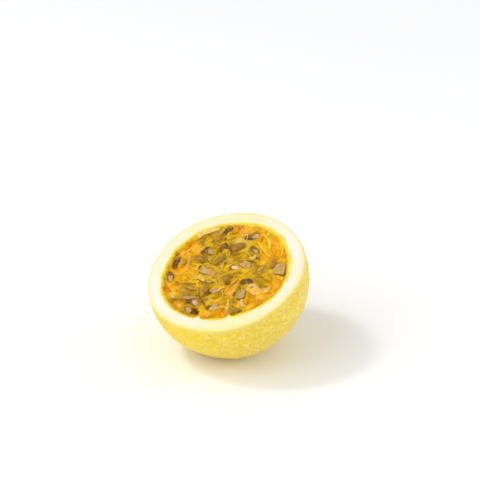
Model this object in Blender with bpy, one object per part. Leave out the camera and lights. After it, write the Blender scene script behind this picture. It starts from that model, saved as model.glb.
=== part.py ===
"""Half of a yellow passion fruit, cut across the middle, lying tipped forward on a small flat spot.

Two solids: the shell, which is the rind and its thick pale pith, and the pulp that fills it, with the
seed sacs that show at the cut and their seeds fused on. Metres, +Z up. The origin is the middle of the
flat spot, and the cut faces up and towards -Y.
"""

import math
import random

import bmesh
import bpy
from mathutils import Matrix, Vector

MM = 0.001

# Driving dimensions
FRUIT_RADIUS = 36.0 * MM
CUT_HEIGHT = 5.1 * MM  # of the cut above the fruit's centre, along its own axis
WALL = 6.2 * MM  # pith and rind together
LEAN = math.radians(21.1)  # of the fruit's axis, from upright towards -Y
FLAT_RADIUS = 7.8 * MM  # of the spot it lies on
GAP = 0.3 * MM  # between pulp and shell

# Sizes worked out from them
CENTRE_HEIGHT = math.sqrt(FRUIT_RADIUS**2 - FLAT_RADIUS**2)
CAVITY_RADIUS = FRUIT_RADIUS - WALL
MOUTH_RADIUS = math.sqrt(CAVITY_RADIUS**2 - CUT_HEIGHT**2)

# Edges of the cut
RIM_ROUND = 0.7 * MM
MOUTH_ROUND = 0.5 * MM
RIND_SLOPE = math.radians(37)  # what faces up less steeply than this over the rim's edge is pith

# Unevenness of the rim and of the cavity's mouth: lobes round the fruit, height in mm, and phase
RIM_LOBES = ((3, 0.17, 0.98), (4, 0.15, -2.43), (5, 0.19, -0.66))
MOUTH_LOBES = ((2, 0.40, -0.68), (3, 0.33, 1.30), (4, 0.40, 2.55), (5, 0.20, 1.18))

# Surface of the pulp, measured down from the cut
PULP_EDGE_DROP = 0.5 * MM
PULP_DROP = 2.2 * MM
PULP_WAVE = 0.25 * MM
WAVE_LENGTH = 17 * MM

# Seed sacs and the seeds that show in them
SAC_COUNT = 46
SAC = Vector((9.6, 6.8, 5.4)) * MM  # length, width and depth
SAC_RISE = 1.8 * MM  # of a sac's top over the pulp
SEED = Vector((5.8, 3.9, 2.2)) * MM
SEED_RISE = 0.35 * MM  # of a seed's top over its sac
SAC_GROWTH = 0.4  # how much of a seed's difference in size its sac shares
TAPER = 0.30  # how much narrower the pointed end of a sac or seed is
PLACE_TRIES = 60  # places drawn for each sac, of which the emptiest is taken
SIZES = (0.75, 1.05)  # of the sacs that aren't placed by hand
SEED_LIFTS = (-0.35 * MM, 0.30 * MM)  # of the sacs that show a seed
PLAIN_LIFTS = (-0.80 * MM, -0.10 * MM)  # of the other sacs
TIPS = (math.radians(-9), math.radians(9))
SEED_SHIFTS = (-0.4 * MM, 0.4 * MM)  # along its sac
SEED_TURNS = (math.radians(-10), math.radians(10))  # from its sac
RANDOM_SEED = 7

# Sacs that stand out, placed by hand on the cut: x and y in mm, the turn of the long side in degrees,
# and the size as a share of the sizes above. A seed shows in each of these.
SEED_SACS = (
    (-13.9, 21.6, 50, 0.80),
    (-1.1, 22.5, 64, 1.00),
    (-4.5, 15.1, 61, 1.10),
    (-9.1, 12.3, -38, 0.75),
    (4.6, 16.0, -21, 0.90),
    (-14.9, 6.9, -36, 1.10),
    (-16.1, 16.0, 77, 0.85),
    (-16.3, 1.7, -2, 0.85),
    (-7.1, 5.3, 78, 0.85),
    (3.1, 3.5, 24, 0.62),
    (5.6, 6.9, 5, 1.08),
    (16.9, 13.5, -73, 0.90),
    (22.0, 11.7, -46, 1.35),
    (-7.5, -3.2, 3, 1.40),
    (3.0, -2.2, 54, 0.85),
    (13.6, -0.6, 13, 0.85),
    (14.1, -8.0, -57, 1.25),
    (-25.7, -5.1, 86, 0.90),
    (-23.2, -14.6, -63, 1.00),
    (-2.2, -13.0, -62, 0.85),
    (1.9, -12.2, 76, 0.90),
    (-2.0, -21.1, -18, 1.00),
    (-1.2, -26.5, -18, 0.90),
    (8.0, -19.8, 66, 0.95),
    (16.7, -17.7, 41, 0.70),
)

# The seeds of these sacs lie too deep to show, as do those of the rest, which a rule spreads
PLAIN_SACS = (
    (-6.1, 19.9, 74, 0.85),
    (-23.1, 8.2, 85, 0.60),
    (-2.2, 9.7, 58, 0.85),
    (12.9, 7.7, 46, 1.00),
    (18.1, 2.9, 1, 1.00),
    (7.7, -6.4, 83, 0.80),
    (-10.8, -15.2, 15, 1.35),
    (-3.6, -10.0, 50, 0.60),
    (-8.3, -24.4, -11, 0.85),
)

# Facets
SEGMENTS = 60
OUTER_RINGS = 15
INNER_RINGS = 8
PULP_RINGS = 6
SAC_FACETS = (9, 7)
SEED_FACETS = (6, 4)


def clear_scene():
    for thing in list(bpy.data.objects):
        bpy.data.objects.remove(thing)


def principled(name, color, roughness):
    material = bpy.data.materials.new(name)
    material.use_nodes = True
    shader = material.node_tree.nodes["Principled BSDF"]
    shader.inputs["Base Color"].default_value = (*color, 1.0)
    shader.inputs["Roughness"].default_value = roughness
    shader.inputs["Metallic"].default_value = 0.0
    return material


def rind_material():
    return principled("rind", (0.86, 0.66, 0.11), 0.42)


def pith_material():
    return principled("pith", (0.97, 0.93, 0.76), 0.60)


def pulp_material():
    return principled("pulp", (0.80, 0.45, 0.03), 0.15)


def lobed(lobes, turn):
    """How far a lobed outline stands out at this turn round the fruit."""
    return sum(height * MM * math.sin(count * turn + phase) for count, height, phase in lobes)


def arc(centre, radius, start, end, steps):
    """Points (radius from the axis, height) along an arc with both ends, angles from the +r direction."""
    return [
        (
            centre[0] + radius * math.cos(start + (end - start) * step / steps),
            centre[1] + radius * math.sin(start + (end - start) * step / steps),
        )
        for step in range(steps + 1)
    ]


def turned(name, profile, swell):
    """A closed mesh turned round the Z axis from a profile that starts and ends on it.

    swell(turn, radius, height) gives how far a point at full radius is moved out.
    """
    mesh = bpy.data.meshes.new(name)
    shape = bmesh.new()
    rings = []
    for radius, height in profile:
        if math.isclose(radius, 0, abs_tol=GAP / 100):
            rings.append([shape.verts.new((0, 0, height))])
            continue
        ring = []
        for step in range(SEGMENTS):
            turn = 2 * math.pi * step / SEGMENTS
            out = radius * (1 + swell(turn, radius, height) / FRUIT_RADIUS)
            ring.append(shape.verts.new((out * math.cos(turn), out * math.sin(turn), height)))
        rings.append(ring)
    for low, high in zip(rings, rings[1:]):
        for step in range(SEGMENTS):
            corners = [
                low[step % len(low)],
                low[(step + 1) % len(low)],
                high[(step + 1) % len(high)],
                high[step % len(high)],
            ]
            shape.faces.new(dict.fromkeys(corners))
    bmesh.ops.recalc_face_normals(shape, faces=shape.faces)
    shape.to_mesh(mesh)
    shape.free()
    thing = bpy.data.objects.new(name, mesh)
    bpy.context.scene.collection.objects.link(thing)
    return thing


def shell_profile():
    """From the pole up the outside, over the cut ring and down the cavity to its bottom."""
    rim_angle = math.asin((CUT_HEIGHT - RIM_ROUND) / (FRUIT_RADIUS - RIM_ROUND))
    rim_centre_radius = (FRUIT_RADIUS - RIM_ROUND) * math.cos(rim_angle)
    outside = arc((0, 0), FRUIT_RADIUS, -math.pi / 2, rim_angle, OUTER_RINGS)
    rim = arc((rim_centre_radius, CUT_HEIGHT - RIM_ROUND), RIM_ROUND, rim_angle, math.pi / 2, 3)
    mouth_centre = (MOUTH_RADIUS + MOUTH_ROUND, CUT_HEIGHT - MOUTH_ROUND)
    mouth = arc(mouth_centre, MOUTH_ROUND, math.pi / 2, math.pi, 2)
    cavity = arc((0, 0), CAVITY_RADIUS, 0, -math.pi / 2, INNER_RINGS)
    return outside + rim[1:] + mouth + cavity


def shell_swell(turn, radius, height):
    """The rim's lobes on the outside, the mouth's in the cavity, and a blend of them across the cut."""
    share = min(max((math.hypot(radius, height) - CAVITY_RADIUS) / WALL, 0), 1)
    return share * lobed(RIM_LOBES, turn) + (1 - share) * lobed(MOUTH_LOBES, turn)


def settle(thing):
    """Tips the fruit's own axis forward and sets its flat spot on the floor."""
    thing.rotation_euler = (LEAN, 0, 0)
    thing.location = (0, 0, CENTRE_HEIGHT)


def cut_flat_spot(shell):
    """Takes off what would reach below the floor."""
    size = 2 * FRUIT_RADIUS
    mesh = bpy.data.meshes.new("below_floor")
    shape = bmesh.new()
    bmesh.ops.create_cube(shape, size=size)
    shape.to_mesh(mesh)
    shape.free()
    below = bpy.data.objects.new("below_floor", mesh)
    bpy.context.scene.collection.objects.link(below)
    below.location = (0, 0, -size / 2)
    below.hide_render = True
    below.display_type = "WIRE"
    flat = shell.modifiers.new("flat_spot", "BOOLEAN")
    flat.operation = "DIFFERENCE"
    flat.object = below


def paint_shell(shell):
    """Rind on the outside, pith on the cut and in the cavity."""
    shell.data.materials.append(rind_material())
    shell.data.materials.append(pith_material())
    for face in shell.data.polygons:
        outside = face.center.length > FRUIT_RADIUS - RIM_ROUND
        faces_up = face.normal.z > math.cos(RIND_SLOPE)
        face.material_index = 0 if outside and not faces_up else 1


def make_shell():
    shell = turned("shell", shell_profile(), shell_swell)
    paint_shell(shell)
    shell.data.shade_smooth()
    shell.data.set_sharp_from_angle(angle=math.radians(40))
    settle(shell)
    cut_flat_spot(shell)
    return shell


def pulp_profile():
    """From the bottom of the cavity up its wall and in over the surface to the middle."""
    radius = CAVITY_RADIUS - GAP
    edge_height = CUT_HEIGHT - PULP_EDGE_DROP
    edge_angle = math.asin(edge_height / radius)
    wall = arc((0, 0), radius, -math.pi / 2, 0, INNER_RINGS)
    wall += arc((0, 0), radius, 0, edge_angle, 1)[1:]
    edge_radius = wall[-1][0]
    surface = [
        (edge_radius * (1 - step / PULP_RINGS), CUT_HEIGHT - PULP_DROP)
        for step in range(1, PULP_RINGS + 1)
    ]
    return wall + surface


def make_core():
    """The pulp without its seed sacs: the cavity's form, with a low wave over the surface."""
    core = turned("pulp", pulp_profile(), lambda turn, radius, height: lobed(MOUTH_LOBES, turn))
    wave = 2 * math.pi / WAVE_LENGTH
    for vertex in core.data.vertices:
        if math.isclose(vertex.co.z, CUT_HEIGHT - PULP_DROP, abs_tol=GAP / 10):
            vertex.co.z += PULP_WAVE * math.sin(wave * vertex.co.x) * math.cos(wave * vertex.co.y)
    return core


def reach_at(turn):
    """Distance from the axis to the pulp's wall at the surface."""
    return MOUTH_RADIUS - GAP + lobed(MOUTH_LOBES, turn) * MOUTH_RADIUS / FRUIT_RADIUS


def sac_size(size):
    return SAC * (1 + SAC_GROWTH * (size - 1))


def held_in(x, y, turn, size):
    """The place, drawn in towards the middle until a sac of this turn and size clears the wall."""
    bearing = math.atan2(y, x)
    aside = bearing - turn
    sac = sac_size(size)
    half = math.hypot(sac.x / 2 * math.cos(aside), sac.y / 2 * math.sin(aside))
    distance = min(math.hypot(x, y), reach_at(bearing) - half)
    return distance * math.cos(bearing), distance * math.sin(bearing)


def sac_places():
    """Place, turn and size of each sac: the ones set by hand, then the rest in the emptiest spots."""
    draw = random.Random(RANDOM_SEED)
    places = []
    for x, y, degrees, size in SEED_SACS + PLAIN_SACS:
        turn = math.radians(degrees)
        places.append((*held_in(x * MM, y * MM, turn, size), turn, size))
    while len(places) < SAC_COUNT:
        best, best_room = None, -1.0
        for _ in range(PLACE_TRIES):
            bearing = draw.uniform(-math.pi, math.pi)
            distance = reach_at(bearing) * math.sqrt(draw.random())
            turn = draw.uniform(0, math.pi)
            size = draw.uniform(*SIZES)
            x, y = held_in(distance * math.cos(bearing), distance * math.sin(bearing), turn, size)
            room = min(math.hypot(x - place[0], y - place[1]) for place in places)
            if room > best_room:
                best, best_room = (x, y, turn, size), room
        places.append(best)
    return places


def make_egg(name, size, facets, tip):
    """A flattened egg along X, narrower towards +X, tipped up at one end."""
    mesh = bpy.data.meshes.new(name)
    shape = bmesh.new()
    bmesh.ops.create_uvsphere(shape, u_segments=facets[0], v_segments=facets[1], radius=1.0)
    shape.transform(Matrix.Rotation(math.pi / 2, 4, "Y"))
    for vertex in shape.verts:
        narrow = 1 - TAPER * (vertex.co.x + 1) / 2
        vertex.co.y *= narrow
        vertex.co.z *= narrow
    shape.transform(Matrix.Rotation(tip, 4, "Y") @ Matrix.Diagonal((*(size / 2), 1)))
    shape.to_mesh(mesh)
    shape.free()
    egg = bpy.data.objects.new(name, mesh)
    bpy.context.scene.collection.objects.link(egg)
    return egg


def make_sacs():
    """Every sac, sunk in the pulp, and the seeds that show, each just proud of its sac's top."""
    draw = random.Random(RANDOM_SEED + 1)
    pieces = []
    for index, (x, y, turn, size) in enumerate(sac_places()):
        seeded = index < len(SEED_SACS)
        tip = draw.uniform(*TIPS)
        top = CUT_HEIGHT - PULP_DROP + SAC_RISE + draw.uniform(*(SEED_LIFTS if seeded else PLAIN_LIFTS))
        sac = make_egg(f"sac_{index}", sac_size(size), SAC_FACETS, tip)
        sac.location = (x, y, top - sac_size(size).z / 2)
        sac.rotation_euler.z = turn
        pieces.append(sac)
        if seeded:
            along = draw.uniform(*SEED_SHIFTS)
            seed = make_egg(f"seed_{index}", SEED * size, SEED_FACETS, tip)
            seed.location = (
                x + along * math.cos(turn),
                y + along * math.sin(turn),
                top + SEED_RISE - SEED.z * size / 2,
            )
            seed.rotation_euler.z = turn + draw.uniform(*SEED_TURNS)
            pieces.append(seed)
    return pieces


def largest_body(mesh):
    """Keeps the largest of a mesh's loose bodies, so that sealed hollows are filled and scraps dropped."""
    shape = bmesh.new()
    shape.from_mesh(mesh)
    left = set(shape.verts)
    bodies = []
    while left:
        first = left.pop()
        body, unvisited = {first}, [first]
        while unvisited:
            vertex = unvisited.pop()
            near = {edge.other_vert(vertex) for edge in vertex.link_edges} & left
            left -= near
            body |= near
            unvisited.extend(near)
        bodies.append(body)
    bodies.sort(key=len)
    for body in bodies[:-1]:
        bmesh.ops.delete(shape, geom=list(body), context="VERTS")
    shape.to_mesh(mesh)
    shape.free()


def fuse(core, pieces):
    """Joins the pieces to the core by one Boolean union, applied, and removes them."""
    group = bpy.data.collections.new("pieces")
    for piece in pieces:
        group.objects.link(piece)
    union = core.modifiers.new("fuse", "BOOLEAN")
    union.operation = "UNION"
    union.operand_type = "COLLECTION"
    union.collection = group
    bpy.context.view_layer.update()
    graph = bpy.context.evaluated_depsgraph_get()
    joined = bpy.data.meshes.new_from_object(core.evaluated_get(graph))
    core.modifiers.clear()
    core.data = joined
    for piece in pieces:
        bpy.data.objects.remove(piece)
    bpy.data.collections.remove(group)
    largest_body(core.data)


def make_pulp():
    pulp = make_core()
    fuse(pulp, make_sacs())
    pulp.data.materials.clear()
    pulp.data.materials.append(pulp_material())
    pulp.data.shade_smooth()
    pulp.data.set_sharp_from_angle(angle=math.radians(50))
    settle(pulp)
    return pulp


def main():
    clear_scene()
    make_shell()
    make_pulp()


main()
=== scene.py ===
"""Looks of the passion fruit half: waxy rind with drops of water, spongy pith, wet pulp with seeds."""

import math
import random

import bpy
import numpy as np
from mathutils import Matrix, Vector, noise


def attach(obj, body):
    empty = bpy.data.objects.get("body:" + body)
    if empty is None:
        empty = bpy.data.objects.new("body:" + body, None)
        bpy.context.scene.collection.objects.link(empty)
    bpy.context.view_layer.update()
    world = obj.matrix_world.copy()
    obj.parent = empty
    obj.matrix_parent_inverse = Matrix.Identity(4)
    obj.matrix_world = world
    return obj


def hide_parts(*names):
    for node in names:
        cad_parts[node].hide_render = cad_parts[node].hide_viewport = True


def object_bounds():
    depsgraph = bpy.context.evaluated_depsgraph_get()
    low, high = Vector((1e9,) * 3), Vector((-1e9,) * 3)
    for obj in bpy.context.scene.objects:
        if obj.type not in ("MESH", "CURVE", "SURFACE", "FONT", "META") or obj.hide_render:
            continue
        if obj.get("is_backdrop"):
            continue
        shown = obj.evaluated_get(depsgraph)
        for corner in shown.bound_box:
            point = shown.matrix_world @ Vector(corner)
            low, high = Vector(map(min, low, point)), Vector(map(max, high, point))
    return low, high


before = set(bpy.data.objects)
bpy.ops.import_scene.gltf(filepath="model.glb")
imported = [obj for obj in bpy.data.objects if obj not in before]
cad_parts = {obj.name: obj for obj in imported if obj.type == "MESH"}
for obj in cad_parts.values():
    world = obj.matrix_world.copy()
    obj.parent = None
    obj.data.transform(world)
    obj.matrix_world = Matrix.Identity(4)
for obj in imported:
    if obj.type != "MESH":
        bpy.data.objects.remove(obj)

CAD_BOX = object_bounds()
MM = 0.001

# The fruit's sizes, as the solids have them
FRUIT_RADIUS = 36.0 * MM
CUT_HEIGHT = 5.1 * MM
WALL = 6.2 * MM
LEAN = math.radians(21.1)
FLAT_RADIUS = 7.8 * MM
GAP = 0.3 * MM
CENTRE_HEIGHT = math.sqrt(FRUIT_RADIUS**2 - FLAT_RADIUS**2)
CAVITY_RADIUS = FRUIT_RADIUS - WALL
MOUTH_RADIUS = math.sqrt(CAVITY_RADIUS**2 - CUT_HEIGHT**2)
RIM_ROUND = 0.7 * MM
MOUTH_ROUND = 0.5 * MM
RIM_LOBES = ((3, 0.17, 0.98), (4, 0.15, -2.43), (5, 0.19, -0.66))
MOUTH_LOBES = ((2, 0.40, -0.68), (3, 0.33, 1.30), (4, 0.40, 2.55), (5, 0.20, 1.18))
PULP_EDGE_DROP = 0.5 * MM
PULP_DROP = 2.2 * MM
PULP_WAVE = 0.25 * MM
WAVE_LENGTH = 17 * MM

# The seed sacs and seeds, by the same rule as the solids
SAC_COUNT = 46
SAC = Vector((9.6, 6.8, 5.4)) * MM
SAC_RISE = 1.8 * MM
SEED = Vector((5.8, 3.9, 2.2)) * MM
SEED_RISE = 0.35 * MM
SAC_GROWTH = 0.4
TAPER = 0.30
OUTSIDE_FALL = 0.8  # how steeply an egg's height falls away past its outline
PLACE_TRIES = 60
SIZES = (0.75, 1.05)
SEED_LIFTS = (-0.35 * MM, 0.30 * MM)
PLAIN_LIFTS = (-0.80 * MM, -0.10 * MM)
TIPS = (math.radians(-9), math.radians(9))
SEED_SHIFTS = (-0.4 * MM, 0.4 * MM)
SEED_TURNS = (math.radians(-10), math.radians(10))
RANDOM_SEED = 7

# What shows of a seed: its cut pale face, a pale patch on a whole one, a dark whole one, or one under
# the sac's skin
CUT, PATCH, WHOLE, VEILED = "cut", "patch", "whole", "veiled"

# Colours of a seed's cut face
BEIGE = (0.53, 0.365, 0.105)
PINK = (0.60, 0.335, 0.120)
GREY = (0.56, 0.350, 0.115)
PALE = (0.84, 0.60, 0.380)

# Sacs with a seed that shows: x and y in mm, turn in degrees and size, as the solids have them, then the
# kind of seed, its colour at either end, and the side in degrees on which it has a hollow with painted shade
SEED_SACS = (
    (-13.9, 21.6, 50, 0.80, WHOLE, GREY, GREY, 250),
    (-1.1, 22.5, 64, 1.00, PATCH, PINK, PALE, 200),
    (-4.5, 15.1, 61, 1.10, VEILED, PINK, GREY, 230),
    (-9.1, 12.3, -38, 0.75, WHOLE, PINK, PINK, 210),
    (4.6, 16.0, -21, 0.90, PATCH, GREY, BEIGE, 150),
    (-14.9, 6.9, -36, 1.10, PATCH, GREY, BEIGE, 200),
    (-16.1, 16.0, 77, 0.85, VEILED, PINK, PINK, 240),
    (-16.3, 1.7, -2, 0.85, VEILED, GREY, GREY, 330),
    (-7.1, 5.3, 78, 0.85, VEILED, PINK, GREY, 270),
    (3.1, 3.5, 24, 0.62, CUT, PALE, PALE, 200),
    (5.6, 6.9, 5, 1.08, CUT, BEIGE, PINK, 80),
    (16.9, 13.5, -73, 0.90, VEILED, PINK, PINK, 290),
    (22.0, 11.7, -46, 1.35, CUT, PINK, BEIGE, 170),
    (-7.5, -3.2, 3, 1.40, CUT, BEIGE, PINK, 170),
    (3.0, -2.2, 54, 0.85, VEILED, GREY, PINK, 300),
    (13.6, -0.6, 13, 0.85, WHOLE, PINK, GREY, 200),
    (14.1, -8.0, -57, 1.25, CUT, GREY, BEIGE, 205),
    (-25.7, -5.1, 86, 0.90, WHOLE, GREY, GREY, 285),
    (-23.2, -14.6, -63, 1.00, PATCH, GREY, PINK, 140),
    (-2.2, -13.0, -62, 0.85, VEILED, GREY, GREY, 290),
    (1.9, -12.2, 76, 0.90, CUT, PINK, PINK, 205),
    (-2.0, -21.1, -18, 1.00, PATCH, PALE, PINK, 175),
    (-1.2, -26.5, -18, 0.90, CUT, PINK, BEIGE, 20),
    (8.0, -19.8, 66, 0.95, CUT, GREY, BEIGE, 190),
    (16.7, -17.7, 41, 0.70, VEILED, BEIGE, BEIGE, 40),
)

# Corners of the most prominent cut faces, in mm on the cut, by the place of their seed
FACE_CORNERS = {
    (-7.5, -3.2): ((-12.2, -1.5), (-11.9, -4.7), (-11.0, -5.8), (-3.9, -4.7), (-3.0, -2.1), (-6.8, -2.3)),
    (22.0, 11.7): ((18.4, 14.9), (18.8, 10.8), (20.7, 7.7), (26.2, 8.9), (22.9, 15.1)),
    (5.6, 6.9): ((2.9, 5.8), (6.8, 4.9), (9.0, 6.3), (8.1, 9.1), (4.5, 8.8)),
    (14.1, -8.0): ((11.9, -5.0), (12.3, -9.3), (14.6, -11.6), (16.9, -10.6), (17.2, -9.0), (15.2, -5.6)),
    (1.9, -12.2): ((0.2, -13.2), (3.1, -13.2), (4.4, -11.0), (2.8, -9.5), (0.6, -10.7)),
    (-1.2, -26.5): ((-3.6, -25.6), (-2.6, -24.3), (-0.2, -25.2), (0.4, -26.9), (-1.4, -27.6)),
    (8.0, -19.8): ((6.5, -22.2), (9.2, -21.8), (10.0, -18.6), (8.6, -17.1), (6.8, -18.5)),
}
CORNER_COUNTS = (4, 5, 5, 6)  # of the other faces
CORNER_SWAY = 0.18
CORNER_REACH = (1.0, 1.2)

# Colours of the sacs whose seed lies too deep to show
OLIVE = (0.49, 0.285, 0.003)
TAN = (0.53, 0.305, 0.020)
PEACH = (0.76, 0.37, 0.030)
STRAW_GREEN = (0.60, 0.44, 0.080)
EARTH = (0.36, 0.175, 0.003)

PLAIN_SACS = (
    (-6.1, 19.9, 74, 0.85, STRAW_GREEN),
    (-23.1, 8.2, 85, 0.60, TAN),
    (-2.2, 9.7, 58, 0.85, OLIVE),
    (12.9, 7.7, 46, 1.00, TAN),
    (18.1, 2.9, 1, 1.00, OLIVE),
    (7.7, -6.4, 83, 0.80, PEACH),
    (-10.8, -15.2, 15, 1.35, TAN),
    (-3.6, -10.0, 50, 0.60, OLIVE),
    (-8.3, -24.4, -11, 0.85, EARTH),
)

# The fruit's own axis runs up its middle, with its zero at the fruit's centre
TO_WORLD = Matrix.Translation((0, 0, CENTRE_HEIGHT)) @ Matrix.Rotation(LEAN, 4, "X")
AXES = np.array(TO_WORLD.to_3x3())


def lobed(lobes, turn):
    return sum(height * MM * np.sin(count * turn + phase) for count, height, phase in lobes)


def reach_at(turn):
    """Distance from the axis to the pulp's wall at the surface."""
    return MOUTH_RADIUS - GAP + lobed(MOUTH_LOBES, turn) * MOUTH_RADIUS / FRUIT_RADIUS


def sac_size(size):
    return SAC * (1 + SAC_GROWTH * (size - 1))


def held_in(x, y, turn, size):
    bearing = math.atan2(y, x)
    aside = bearing - turn
    sac = sac_size(size)
    half = math.hypot(sac.x / 2 * math.cos(aside), sac.y / 2 * math.sin(aside))
    distance = min(math.hypot(x, y), reach_at(bearing) - half)
    return distance * math.cos(bearing), distance * math.sin(bearing)


def sac_places():
    """Place, turn and size of each sac: the ones given, then the rest in the emptiest spots."""
    draw = random.Random(RANDOM_SEED)
    places = []
    for x, y, degrees, size, *_ in SEED_SACS + PLAIN_SACS:
        turn = math.radians(degrees)
        places.append((*held_in(x * MM, y * MM, turn, size), turn, size))
    while len(places) < SAC_COUNT:
        best, best_room = None, -1.0
        for _ in range(PLACE_TRIES):
            bearing = draw.uniform(-math.pi, math.pi)
            distance = reach_at(bearing) * math.sqrt(draw.random())
            turn = draw.uniform(0, math.pi)
            size = draw.uniform(*SIZES)
            x, y = held_in(distance * math.cos(bearing), distance * math.sin(bearing), turn, size)
            room = min(math.hypot(x - place[0], y - place[1]) for place in places)
            if room > best_room:
                best, best_room = (x, y, turn, size), room
        places.append(best)
    return places


def narrowing(u):
    """Width of an egg at a share of its half length, as a share of its width at the blunt end."""
    return 1 - TAPER * (np.clip(u, -1, 1) + 1) / 2


class Egg:
    """A sac or a seed: where it lies on the cut and how big it is."""

    def __init__(self, x, y, top, turn, tip, size):
        self.x, self.y, self.top, self.turn, self.tip, self.size = x, y, top, turn, tip, size

    def across(self, x, y):
        """Points of the cut in the egg's own lengths, along it and across it."""
        along_x, along_y = math.cos(self.turn), math.sin(self.turn)
        u = ((x - self.x) * along_x + (y - self.y) * along_y) / (self.size.x / 2)
        v = ((y - self.y) * along_x - (x - self.x) * along_y) / (self.size.y / 2)
        return u, v

    def inside(self, x, y):
        """1 at the middle, 0 at the outline and below 0 outside."""
        u, v = self.across(x, y)
        return 1 - (u**2 + (v / narrowing(u)) ** 2)

    def height(self, x, y):
        """Height of the egg's upper side over the fruit's centre, falling away outside it."""
        u = np.clip(self.across(x, y)[0], -1, 1)
        left = self.inside(x, y)
        dome = np.sqrt(np.clip(left, 0, 1)) * narrowing(u) + OUTSIDE_FALL * np.minimum(left, 0)
        middle = self.top - self.size.z / 2
        return middle + dome * self.size.z / 2 - u * self.size.x / 2 * math.sin(self.tip)


def sacs_and_seeds():
    draw = random.Random(RANDOM_SEED + 1)
    sacs, seeds = [], []
    for index, (x, y, turn, size) in enumerate(sac_places()):
        seeded = index < len(SEED_SACS)
        tip = draw.uniform(*TIPS)
        top = CUT_HEIGHT - PULP_DROP + SAC_RISE + draw.uniform(*(SEED_LIFTS if seeded else PLAIN_LIFTS))
        sacs.append(Egg(x, y, top, turn, tip, sac_size(size)))
        if seeded:
            along = draw.uniform(*SEED_SHIFTS)
            seed_x, seed_y = x + along * math.cos(turn), y + along * math.sin(turn)
            seed_turn = turn + draw.uniform(*SEED_TURNS)
            seeds.append(Egg(seed_x, seed_y, top + SEED_RISE, seed_turn, tip, SEED * size))
    return sacs, seeds


SACS, SEEDS = sacs_and_seeds()
KINDS = [row[4] for row in SEED_SACS]


def egg_reach(angle):
    """Radius of an egg's outline as seen from above, at each angle."""
    turn = np.linspace(0, 2 * math.pi, 181)
    u = np.sin(turn)
    v = np.cos(turn) * narrowing(u)
    return np.interp(angle, np.arctan2(v, u), np.hypot(u, v), period=2 * math.pi)


def polygon_reach(corners, angle):
    """Distance from the middle to a polygon's edge, at each angle."""
    bearings = np.arctan2(corners[:, 1], corners[:, 0])
    corners = corners[np.argsort(bearings)]
    first = np.searchsorted(np.sort(bearings), angle, side="right") - 1
    start = corners[first]
    edge = corners[(first + 1) % len(corners)] - start
    across = np.cos(angle) * edge[:, 1] - np.sin(angle) * edge[:, 0]
    return (start[:, 0] * edge[:, 1] - start[:, 1] * edge[:, 0]) / across


def drawn_corners(draw):
    """Corners of a face that the knife left, in the seed's own half lengths."""
    count = draw.choice(CORNER_COUNTS)
    start = draw.uniform(0, 2 * math.pi)
    sway = [draw.uniform(-CORNER_SWAY, CORNER_SWAY) for _ in range(count)]
    angles = start + 2 * math.pi * (np.arange(count) + sway) / count
    reach = egg_reach(angles) * np.array([draw.uniform(*CORNER_REACH) for _ in range(count)])
    return np.stack([np.cos(angles), np.sin(angles)], 1) * reach[:, None]


def seed_corners():
    """Corners of each seed's cut face or pale patch, in the seed's own half lengths."""
    draw = random.Random(RANDOM_SEED + 9)
    found = []
    for seed, row in zip(SEEDS, SEED_SACS):
        corners = drawn_corners(draw)
        if row[:2] in FACE_CORNERS:
            given = np.array(FACE_CORNERS[row[:2]]) * MM
            corners = np.stack(seed.across(given[:, 0], given[:, 1]), 1)
        found.append(corners)
    return found


CORNERS = seed_corners()


# Making meshes

def noise_at(points, scale, octaves=3, offset=0.0):
    """Smooth noise of about -1 to 1 at points in metres, with waves of about 1 / scale metres."""
    shift = Vector((offset, offset * 1.7, -offset))
    return np.array([noise.fractal(Vector(point) * scale + shift, 1.0, 2.0, octaves) for point in points])


def add_object(name, data):
    item = bpy.data.objects.new(name, data)
    bpy.context.scene.collection.objects.link(item)
    return item


def add_mesh(name, points, faces, material, tints=None):
    """A piece from points in the fruit's own axes, brought to where the fruit lies, each with its tint."""
    world = np.asarray(points) @ AXES.T + np.array(TO_WORLD.translation)
    world[:, 2] = np.maximum(world[:, 2], 0)
    mesh = bpy.data.meshes.new(name)
    mesh.from_pydata(world.tolist(), [], faces)
    mesh.validate()
    mesh.shade_smooth()
    mesh.materials.append(material)
    piece = add_object(name, mesh)
    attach(piece, "root")
    if tints is not None:
        full = np.concatenate([tints, np.ones((len(tints), 1))], 1)
        layer = mesh.color_attributes.new("tint", "FLOAT_COLOR", "POINT")
        layer.data.foreach_set("color", full.astype(np.float32).ravel())
    return piece


def add_values(piece, **rows):
    """Named values at the piece's points, for its material."""
    for name, values in rows.items():
        layer = piece.data.attributes.new(name, "FLOAT", "POINT")
        layer.data.foreach_set("value", values.astype(np.float32))


def grid_faces(rings, segments, start=0):
    """Quads between rings of points that lie one after another."""
    faces = []
    for ring in range(rings - 1):
        low = start + ring * segments
        for step in range(segments):
            after = (step + 1) % segments
            faces.append((low + step, low + after, low + segments + after, low + segments + step))
    return faces


def closed_faces(rings, segments, start=0):
    """The same with the first and the last ring filled."""
    last = start + (rings - 1) * segments
    ends = [tuple(range(start + segments - 1, start - 1, -1)), tuple(range(last, last + segments))]
    return grid_faces(rings, segments, start) + ends


def add_forms(name, forms, around, material):
    """A piece from many closed forms, each given by its rings of points and their tints."""
    points, faces, tints = [], [], []
    for form, colors in forms:
        faces += closed_faces(len(form) // around, around, len(points))
        points += form.tolist()
        tints += np.clip(colors, 0, 1).tolist()
    piece = add_mesh(name, points, faces, material, tints)


# Materials

def new_material(name):
    material = bpy.data.materials.new(name)
    material.use_nodes = True
    return material, material.node_tree, material.node_tree.nodes["Principled BSDF"]


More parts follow.
